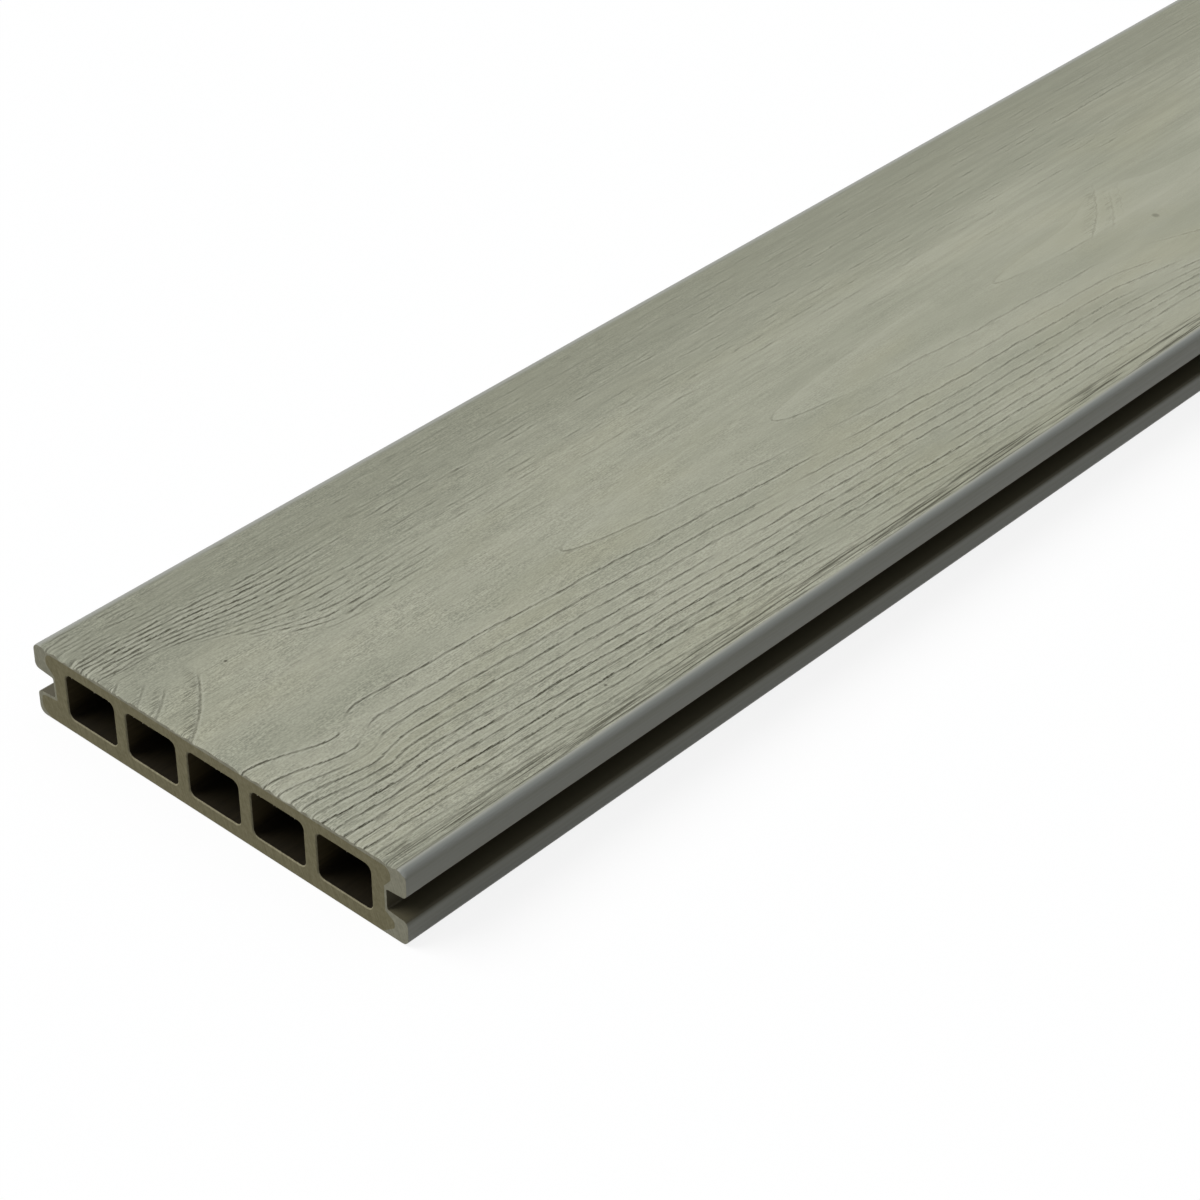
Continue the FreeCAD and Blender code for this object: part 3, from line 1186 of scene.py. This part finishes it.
@dataclass(frozen=True)
class ChamberFinish(ExtrudedFinish):
    """A chamber's bare walls in painted shade, darker towards the floor and lighter up the walls to even out
    how the light falls there.
    """

    # Painted shade towards the chamber floor, painted light up the walls.
    fade: Ramp = Ramp(Section.floor, Section.floor + 6.0 * MM, 0.5, 2.5)

    def colour(self, wiring: Wiring, tone: Socket) -> Socket:
        """Darkens the streaks towards the floor and lightens them up the walls, as painted shade and painted
        light.
        """
        height = wiring.place()[2]
        return wiring.toned(super().colour(wiring, tone), wiring.rise(height, self.fade))


@dataclass
class Profile:
    """A section drawn flat and drawn out along the board."""

    near: float
    length: float
    arc_segments: int = 5
    bm: bmesh.types.BMesh = field(default_factory=bmesh.new)

    def outline(self, corners: Sequence[Corner]) -> list[bmesh.types.BMEdge]:
        """Draws a closed outline with rounded corners at the near end.

        Args:
            corners: The corners in order.

        Returns:
            The outline's edges, with one face between them.
        """
        known = set(self.bm.verts)
        spots = [self.bm.verts.new((corner.x, self.near, corner.z)) for corner in corners]
        self.bm.faces.new(spots)
        for number, corner in enumerate(corners):
            if corner.radius:
                before, after = corners[number - 1], corners[(number + 1) % len(corners)]
                into = Vector((corner.x - before.x, corner.z - before.z))
                out = Vector((after.x - corner.x, after.z - corner.z))
                bmesh.ops.bevel(
                    self.bm, geom=[spots[number]], offset=corner.radius * math.tan(into.angle(out) / 2),
                    offset_type="OFFSET", segments=self.arc_segments, profile=0.5, affect="VERTICES",
                    clamp_overlap=False, material=-1,
                )
        return [edge for edge in self.bm.edges if not known & set(edge.verts)]

    def draw_out(self) -> None:
        """Extrudes the drawn faces over the board's length."""
        result = bmesh.ops.extrude_face_region(self.bm, geom=list(self.bm.faces))
        moved = [item for item in result["geom"] if isinstance(item, bmesh.types.BMVert)]
        bmesh.ops.translate(self.bm, verts=moved, vec=(0, self.length, 0))

    def along_edges(self) -> list[bmesh.types.BMEdge]:
        """Finds the edges that run from one end to the other."""
        return [e for e in self.bm.edges if abs(e.verts[0].co.y - e.verts[1].co.y) > self.length / 2]

    def paint(self, surface_of: Callable[[bmesh.types.BMFace], Surface]) -> None:
        """Gives each face the place of its finish.

        Args:
            surface_of: Tells a face's surface.
        """
        self.bm.normal_update()
        for face in self.bm.faces:
            face.material_index = surface_of(face).value
            face.smooth = True

    def finished(self, name: str, sharp: float) -> bpy.types.Object:
        """Turns the mesh into an object of the scene.

        Args:
            name: The piece's name.
            sharp: Edges that turn by more than this angle stay sharp.

        Returns:
            The object, at the origin.
        """
        bmesh.ops.recalc_face_normals(self.bm, faces=list(self.bm.faces))
        mesh = bpy.data.meshes.new(name)
        self.bm.to_mesh(mesh)
        self.bm.free()
        mesh.set_sharp_from_angle(angle=sharp)
        piece = bpy.data.objects.new(name, mesh)
        bpy.context.scene.collection.objects.link(piece)
        return piece


@dataclass
class BoardPiece:
    """A piece of the board that runs from one cut end to the other."""

    section: Section
    near: float
    length: float

    def coat(self, piece: bpy.types.Object, *finishes: Finish) -> None:
        """Puts finishes on a piece, in the order of its surfaces."""
        for finish in finishes:
            piece.data.materials.append(finish.material())


@dataclass(frozen=True)
class Wear:
    """How much of a cut edge is gone in one row of vertices: everywhere, in nicks and in chips."""

    least: float
    nicks: float
    chips: float


@dataclass
class CapLayer(BoardPiece):
    """The pale skin over the top and both lips, with its embossed grain."""

    figure: Figure = field(default_factory=Figure)
    families: dict[str, Lines] = field(
        default_factory=lambda: {"ring": Rings(), "fan": Fan(), "arc": EyeArcs()}
    )
    band_pitch: float = 0.47 * MM
    middle_pitch: float = 1.2 * MM
    middle_half: float = 13.0 * MM
    edge_rows: tuple[float, ...] = (0.0, 0.4 * MM, 1.0 * MM, 2.0 * MM)
    knot_length: float = 85 * MM
    knot_pitch: float = 1.3 * MM
    seen_length: float = 0.43
    seen_pitch: float = 3.4 * MM
    far_pitch: float = 20.0 * MM
    sharp: float = math.radians(58)
    least_vigour: float = 0.15
    worn_edge: float = 0.7 * MM
    wear: tuple[Wear, ...] = (Wear(0.2, 1.8, 1.3), Wear(0.0, 1.1, 1.1), Wear(0.0, 0.5, 0.6))
    nick_width: float = 0.9 * MM
    nick_patch: float = 3.1 * MM
    nick_power: float = 1.5
    chip_width: float = 4.3 * MM
    chip_power: int = 3
    deepest_chip: float = 1.05 * MM
    shelter_turn: float = 0.7
    shelter_width: float = 0.6 * MM
    # Width and shares of the painted shade on the rounded edges; the right edge faces away from the key
    # light and takes more.
    rim_width: float = 1.0 * MM
    rim_shares: Limits = (0.3, 0.8)
    plain_rim: float = 0.8 * MM

    def columns(self) -> Array:
        """Places the columns of vertices across the grained face, closest in its two bands.

        Returns:
            Their distances from the middle.
        """
        flat, middle = self.section.flat_half, self.middle_half
        band = math.ceil((flat - middle) / self.band_pitch) + 1
        centre = math.ceil(2 * middle / self.middle_pitch) + 1
        right = np.linspace(middle, flat, band)
        return np.concatenate([-right[::-1], np.linspace(-middle, middle, centre)[1:-1], right])

    def rows(self) -> Array:
        """Places the rows of vertices along the board, closest near the cut end in view.

        Returns:
            Their distances from the near end.
        """
        edge = np.array(self.edge_rows)
        knot = np.arange(edge[-1] + self.knot_pitch, self.knot_length, self.knot_pitch)
        seen = np.arange(self.knot_length, self.seen_length, self.seen_pitch)
        count = math.ceil((self.length - seen[-1]) / self.far_pitch)
        far = np.linspace(seen[-1], self.length - edge[1], count)[1:]
        return np.concatenate([edge, knot, seen, far, [self.length]])

    def build(self) -> bpy.types.Object:
        """Builds the cap's piece.

        Returns:
            The piece, with its grain pressed in and noted for its finish.
        """
        section, columns, rows = self.section, self.columns(), self.rows()
        profile = Profile(self.near, self.length)
        outer = section.outer(Side.RIGHT) + section.outer(Side.LEFT)[::-1]
        inner = section.core(Side.LEFT) + section.core(Side.RIGHT)[::-1]
        edges = profile.outline(outer + inner)
        top = [e for e in edges if min(v.co.z for v in e.verts) > section.thickness - TOLERANCE]
        bmesh.ops.subdivide_edges(profile.bm, edges=top, cuts=len(columns) - 2)
        profile.draw_out()
        bmesh.ops.subdivide_edges(
            profile.bm, edges=profile.along_edges(), cuts=len(rows) - 2, use_grid_fill=True
        )
        profile.paint(lambda face: Surface.SAWN if abs(face.normal.y) > END_FACING else Surface.SKIN)
        piece = profile.finished("grained_cap", self.sharp)
        self.emboss(piece.data, columns, rows)
        return piece

    def emboss(self, mesh: bpy.types.Mesh, columns: Array, rows: Array) -> None:
        """Moves the vertices to their columns and rows and presses the grain in.

        Args:
            mesh: The cap's mesh, with even columns and rows.
            columns: Where the columns belong, across.
            rows: Where the rows belong, from the near end.
        """
        places = np.empty(len(mesh.vertices) * 3)
        mesh.vertices.foreach_get("co", places)
        x, y, z = places.reshape(-1, 3).T
        row = np.rint((y - self.near) / self.length * (len(rows) - 1)).astype(int)
        along = rows[row]
        on_top = z > self.section.thickness - TOLERANCE
        even = (x + self.section.flat_half) / (2 * self.section.flat_half) * (len(columns) - 1)
        column = np.clip(np.rint(even), 0, len(columns) - 1).astype(int)
        x = np.where(on_top, columns[column], x)
        plain = self.section.flat_half - self.plain_rim
        emboss = np.where(on_top, 1 - smooth(np.abs(x), plain, self.section.flat_half), 0.0)
        notes = {
            "emboss": emboss, "vigour": self.figure.vigour(along, self.least_vigour),
            # These notes also mark where shade is painted: inside the clip grooves and on the rounded edges.
            "groove_shade": self.groove_shade(x, z), "rim": self.rim(x, z),
        }
        for family, lines in self.families.items():
            z = z - lines.relief(x, along) * emboss
            notes[family + "_number"] = lines.number(x, along)
            notes[family + "_pace"] = lines.pace(x, along)
            notes[family + "_mark"] = lines.mark(x, along)
        z = z - self.worn(x, row, len(rows) - 1) * (z > self.section.core_top + TOLERANCE)
        mesh.vertices.foreach_set("co", np.stack([x, self.near + along, z], axis=1).ravel())
        for name, values in notes.items():
            mesh.attributes.new(name, "FLOAT", "POINT").data.foreach_set("value", values.astype(np.float32))
        mesh.update()

    def groove_shade(self, x: Array, z: Array) -> Array:
        """Tells how far inside a clip groove each place is, where shade is painted.

        Args:
            x: Distance from the middle.
            z: Height above the underside.

        Returns:
            The share, from 0 on the lips to 1 at the back of a groove.
        """
        edge, turn = self.section.half_width, self.shelter_turn * self.section.lip_radius
        low = self.section.lip_top - turn
        high = self.section.groove_base + self.section.groove_back + self.section.groove_flare + turn
        inside = 1 - smooth(np.abs(x), edge - self.shelter_width, edge)
        return np.where((z > low) & (z < high), inside, 0.0)

    def rim(self, x: Array, z: Array) -> Array:
        """Tells how near each place is to the turn of the face over its edge, where shade is painted.

        Args:
            x: Distance from the middle.
            z: Height above the underside.

        Returns:
            The share, from 0 to 1.
        """
        away = (np.abs(x) - self.section.flat_half - self.rim_width) / self.rim_width
        left, right = self.rim_shares
        share = np.where(x > 0, right, left) * np.exp(-(away ** 2))
        return np.where(z > self.section.core_top, share, 0.0)

    def worn(self, x: Array, row: Array, last: int) -> Array:
        """Tells how much of the sharp edge at either cut end is broken away.

        Args:
            x: Distance from the middle.
            row: The row of each vertex.
            last: The last row.

        Returns:
            How far each vertex drops.
        """
        patch = scatter(np.floor(x / self.nick_patch), Salt.NICK_PATCH) ** self.nick_power
        nick = scatter(np.floor(x / self.nick_width), Salt.NICK) * patch
        chip = scatter(np.floor(x / self.chip_width), Salt.CHIP) ** self.chip_power
        chip = chip * np.sin(math.pi * x / self.chip_width) ** 2
        shares = [
            wear.least + wear.nicks * nick ** power + wear.chips * chip
            for power, wear in enumerate(self.wear, 1)
        ]
        drop = self.worn_edge * np.select([(row == 0) | (row == last), row == 1, row == 2], shares, 0.0)
        return np.minimum(drop, self.deepest_chip)

    def dress(self, piece: bpy.types.Object) -> None:
        """Puts the finishes on the cap.

        Args:
            piece: The cap's piece.
        """
        sawn = SawnFinish("sawn_cap", srgb(153, 151, 133), srgb(129, 127, 111))
        self.coat(piece, SkinFinish("embossed_skin"), sawn)
        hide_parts("cap_layer")
        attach(piece, "root")


@dataclass
class HollowCore(BoardPiece):
    """The darker body of the board with its five chambers."""

    mouth: float = 0.3 * MM
    sharp: float = math.radians(35)

    def build(self) -> bpy.types.Object:
        """Builds the core's piece.

        Returns:
            The piece, with broken edges at the chamber mouths.
        """
        section = self.section
        profile = Profile(self.near, self.length)
        profile.outline(section.core(Side.RIGHT) + section.core(Side.LEFT)[::-1])
        for chamber in section.chambers():
            profile.outline(chamber)
        bmesh.ops.delete(profile.bm, geom=list(profile.bm.faces), context="FACES_ONLY")
        bmesh.ops.triangle_fill(profile.bm, edges=list(profile.bm.edges), use_beauty=True, normal=(0, -1, 0))
        profile.draw_out()
        bmesh.ops.recalc_face_normals(profile.bm, faces=list(profile.bm.faces))
        profile.paint(self.surface_of)
        mouths = [e for e in profile.bm.edges if self.is_mouth(e)]
        bmesh.ops.bevel(
            profile.bm, geom=mouths, offset=self.mouth, offset_type="OFFSET", segments=1, profile=0.5,
            affect="EDGES", clamp_overlap=False, material=Surface.BURR.value,
        )
        return profile.finished("chambered_core", self.sharp)

    def surface_of(self, face: bmesh.types.BMFace) -> Surface:
        """Tells cut ends, chamber walls and the outside apart.

        Args:
            face: A face of the core.

        Returns:
            The surface it belongs to.
        """
        if abs(face.normal.y) > END_FACING:
            return Surface.SAWN
        middle = face.calc_center_median()
        inside = self.section.floor - TOLERANCE < middle.z < self.section.roof + TOLERANCE
        wall = self.section.core_wall - self.section.web + TOLERANCE
        return Surface.HOLLOW if inside and abs(middle.x) < wall else Surface.SKIN

    def is_mouth(self, edge: bmesh.types.BMEdge) -> bool:
        """Tells whether an edge lies between a cut end and a chamber's wall."""
        kinds = {face.material_index for face in edge.link_faces}
        return kinds == {Surface.SAWN.value, Surface.HOLLOW.value}

    def dress(self, piece: bpy.types.Object) -> None:
        """Puts the finishes on the core.

        Args:
            piece: The core's piece.
        """
        self.coat(
            piece,
            ExtrudedFinish("extruded_underside", srgb(112, 107, 88), srgb(92, 88, 70)),
            SawnFinish("sawn_core", srgb(131, 125, 99), srgb(109, 104, 79)),
            # The chamber walls' dark colours are painted shade inside the chambers.
            ChamberFinish("chamber_walls", srgb(45, 39, 25), srgb(34, 29, 18)),
            SawnFinish("chamber_burr", srgb(144, 138, 114), srgb(120, 115, 92)),
        )
        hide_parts("hollow_core")
        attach(piece, "root")


@dataclass
class SawBurr(BoardPiece):
    """Slivers that the saw left hanging along the roofs of the chamber mouths."""

    per_mouth: int = 14
    size: float = 0.42 * MM
    sizes: Limits = (0.5, 1.3)
    turns: tuple[Limits, ...] = ((-0.4, 0.4), (-0.6, 0.6), (0.0, 3.1))
    widths: Limits = (0.4, 1.4)
    flatness: float = 0.4
    inset: float = 1.4
    sharp: float = math.radians(30)
    seed: int = 11

    def build(self) -> bpy.types.Object:
        """Builds the slivers of both cut ends.

        Returns:
            The piece.
        """
        chance = random.Random(self.seed)
        profile = Profile(self.near, self.length)
        for inward, end in ((1, self.near), (-1, self.near + self.length)):
            for chamber in self.section.chambers():
                left, right = (chamber[n].x + (1 - n) * self.section.chamber_radius for n in (0, 1))
                for _ in range(chance.randint(self.per_mouth // 3, self.per_mouth)):
                    place = Vector((chance.uniform(left, right), end, self.section.roof))
                    self.sliver(profile.bm, place, inward, chance)
        return profile.finished("saw_burr", self.sharp)

    def sliver(self, bm: bmesh.types.BMesh, place: Vector, inward: int, chance: random.Random) -> None:
        """Adds one sliver that hangs from a roof's edge.

        Args:
            bm: The mesh to add to.
            place: Where on the edge it hangs.
            inward: The sign of Y that points into the board.
            chance: The source of its shape.
        """
        size = self.size * chance.uniform(*self.sizes)
        turn = Euler([chance.uniform(*limits) for limits in self.turns])
        stretch = Vector((chance.uniform(*self.widths), self.flatness, 1.0)) * size
        middle = place + Vector((0, inward * self.inset * self.size, -0.5 * size))
        bmesh.ops.create_cone(
            bm, cap_ends=True, segments=5, radius1=0.25, radius2=0.6, depth=1.6,
            matrix=Matrix.LocRotScale(middle, turn, stretch),
        )

    def dress(self, piece: bpy.types.Object) -> None:
        """Puts the burr's finish on it.

        Args:
            piece: The burr's piece.
        """
        self.coat(piece, SawnFinish("saw_burr", srgb(196, 192, 174), srgb(158, 152, 132)))
        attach(piece, "root")


@dataclass(frozen=True)
class FloorFinish(Finish):
    """A plain floor that looks white and throws back only a little light."""

    shown: float = 0.86
    bounce: Colour = srgb(172, 172, 170)

    def shader(self, wiring: Wiring) -> Socket:
        """Builds the floor's shader.

        Args:
            wiring: The material's wiring.

        Returns:
            The surface.
        """
        lit = wiring.add("ShaderNodeBsdfDiffuse", {"Color": WHITE}).outputs[0]
        white = wiring.add("ShaderNodeEmission", {"Color": WHITE, "Strength": 1.0}).outputs[0]
        plain = wiring.add("ShaderNodeBsdfDiffuse", {"Color": self.bounce}).outputs[0]
        seen = wiring.add("ShaderNodeMixShader", {0: self.shown, 1: lit, 2: white}).outputs[0]
        return wiring.add("ShaderNodeMixShader", {0: wiring.shown(), 1: plain, 2: seen}).outputs[0]


@dataclass(frozen=True)
class Studio:
    """Floor, soft light and the camera at the photo's angle."""

    floor_half: float = 12.0
    floor_drop: float = 0.3 * MM
    sky: Ramp = Ramp(0.3, 0.85, 0.06, 0.5)
    sky_tint: Colour = (0.96, 0.98, 1.0, 1.0)
    key_strength: float = 2.65
    key_from: tuple[float, float, float] = (-0.52, -0.38, 0.77)
    key_spread: float = 40.0
    camera_place: tuple[float, float, float] = (0.4951, -1.4976, 0.5221)
    camera_forward: tuple[float, float, float] = (-0.5474, 0.5987, -0.5847)
    camera_lens: float = 96.47
    camera_reach: float = 100.0

    def build(self) -> None:
        """Sets up the stage."""
        self.lay_floor()
        self.light()
        self.point_camera()

    def lay_floor(self) -> None:
        """Lays the floor just under the board."""
        bm = bmesh.new()
        bmesh.ops.create_grid(bm, x_segments=1, y_segments=1, size=self.floor_half)
        bmesh.ops.translate(bm, verts=list(bm.verts), vec=(0, 0, -self.floor_drop))
        mesh = bpy.data.meshes.new("studio_floor")
        bm.to_mesh(mesh)
        bm.free()
        mesh.materials.append(FloorFinish("studio_floor").material())
        floor = bpy.data.objects.new("studio_floor", mesh)
        bpy.context.scene.collection.objects.link(floor)

    def light(self) -> None:
        """Sets the soft key light and the light all round."""
        lamp = bpy.data.lights.new("soft_key", "SUN")
        lamp.energy = self.key_strength
        lamp.angle = math.radians(self.key_spread)
        key = bpy.data.objects.new("soft_key", lamp)
        key.rotation_euler = Vector(self.key_from).to_track_quat("Z", "Y").to_euler()
        bpy.context.scene.collection.objects.link(key)
        world = bpy.data.worlds.new("studio")
        world.use_nodes = True
        world.node_tree.nodes.clear()
        wiring = Wiring(world.node_tree)
        direction = wiring.add("ShaderNodeTexCoord").outputs["Generated"]
        height = wiring.add("ShaderNodeSeparateXYZ", {0: direction}).outputs[2]
        soft = {"Color": self.sky_tint, "Strength": wiring.rise(height, self.sky)}
        around = wiring.add("ShaderNodeBackground", soft).outputs[0]
        white = wiring.add("ShaderNodeBackground", {"Color": WHITE, "Strength": 1.0}).outputs[0]
        mixed = wiring.add("ShaderNodeMixShader", {0: wiring.shown(), 1: around, 2: white}).outputs[0]
        wiring.add("ShaderNodeOutputWorld", {"Surface": mixed})
        bpy.context.scene.world = world

    def point_camera(self) -> None:
        """Places the camera as it stood for the photo."""
        data = bpy.data.cameras.new("photo_camera")
        data.lens = self.camera_lens
        data.clip_end = self.camera_reach
        camera = bpy.data.objects.new("photo_camera", data)
        camera.location = self.camera_place
        camera.rotation_euler = Vector(self.camera_forward).to_track_quat("-Z", "Y").to_euler()
        bpy.context.scene.collection.objects.link(camera)
        bpy.context.scene.camera = camera
        bpy.context.scene.view_settings.view_transform = "Standard"


def main() -> None:
    """Builds the board piece by piece and sets up the studio."""
    logging.basicConfig(level=logging.INFO, format="%(message)s")
    section = Section.from_frame()
    low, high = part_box("cap_layer")
    for kind in (CapLayer, HollowCore, SawBurr):
        part = kind(section, low.y, high.y - low.y)
        piece = part.build()
        part.dress(piece)
        faces = sum(len(face.vertices) - 2 for face in piece.data.polygons)
        LOG.info("%s: %d triangles", piece.name, faces)
    Studio().build()


if __name__ == "__main__":
    main()
